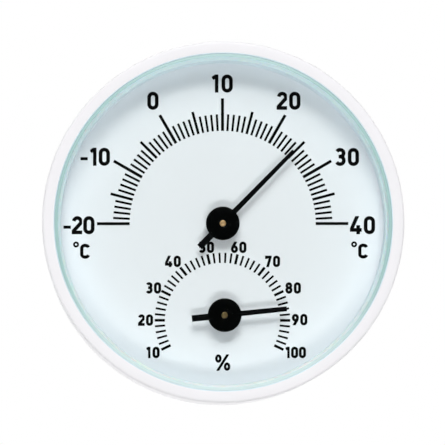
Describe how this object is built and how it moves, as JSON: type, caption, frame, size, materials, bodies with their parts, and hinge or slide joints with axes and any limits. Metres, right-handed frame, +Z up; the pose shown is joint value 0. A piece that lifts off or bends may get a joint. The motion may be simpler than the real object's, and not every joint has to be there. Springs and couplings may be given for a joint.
{
  "type": "wall thermo-hygrometer",
  "caption": "Round white wall thermo-hygrometer: drum case, flat glass lens, recessed dial with temperature and humidity scales, black pointers turned by spiral coils, keyhole back.",
  "frame": {"origin": "centre of the flat back face, which lies on the wall", "axes": "+Z is up as it hangs, +Y points into the wall so the dial faces -Y, and +X is to the right seen from the front"},
  "size_m": [0.07, 0.024, 0.07],
  "materials": {
    "case_abs": "moulded white ABS, fine satin",
    "lens_glass": "clear float glass with a greenish ground edge",
    "seal_silicone": "translucent pale silicone",
    "dial_enamel": "white enamelled sheet with printed black scales",
    "frame_abs": "moulded off-white ABS",
    "pointer_black": "stamped sheet, satin black paint",
    "hub_black": "moulded satin black plastic",
    "brass": "turned brass",
    "bridge_steel": "stamped and bent sheet steel",
    "screw_steel": "zinc plated steel",
    "bimetal_strip": "rolled bimetal strip",
    "humidity_strip": "metal strip coated with humidity film"
  },
  "bodies": {
    "case": {"case_body": "case_abs", "lens": "lens_glass", "lens_seal": "seal_silicone", "dial_plate": "dial_enamel", "inner_frame": "frame_abs", "rear_cover": "case_abs", "cover_screw_1": "screw_steel", "cover_screw_2": "screw_steel", "cover_screw_3": "screw_steel", "cover_screw_4": "screw_steel", "thermometer_coil": "bimetal_strip", "thermometer_coil_stud": "brass", "thermometer_bush": "brass", "thermometer_bridge": "bridge_steel", "thermometer_bridge_screw_left": "screw_steel", "thermometer_bridge_screw_right": "screw_steel", "hygrometer_coil": "humidity_strip", "hygrometer_coil_stud": "brass", "hygrometer_bush": "brass", "hygrometer_bridge": "bridge_steel", "hygrometer_bridge_screw_left": "screw_steel", "hygrometer_bridge_screw_right": "screw_steel"},
    "thermometer_hand": {"thermometer_pointer": "pointer_black", "thermometer_hub": "hub_black", "thermometer_staff": "brass", "thermometer_coil_collet": "brass"},
    "hygrometer_hand": {"hygrometer_pointer": "pointer_black", "hygrometer_hub": "hub_black", "hygrometer_staff": "brass", "hygrometer_coil_collet": "brass"}
  },
  "joints": [
    {"name": "temperature_sweep", "type": "hinge", "parent": "case", "child": "thermometer_hand", "pos_m": [0, -0.01835, 0], "axis": [0, 1, 0], "range_deg": [-134.35, 45.65], "stiffness_Nm_per_rad": 0.00005, "deforming": ["thermometer_coil"]},
    {"name": "humidity_sweep", "type": "hinge", "parent": "case", "child": "hygrometer_hand", "pos_m": [0.00035, -0.01875, -0.01785], "axis": [0, 1, 0], "range_deg": [-199.75, 31.65], "stiffness_Nm_per_rad": 0.00005, "deforming": ["hygrometer_coil"]}
  ]
}
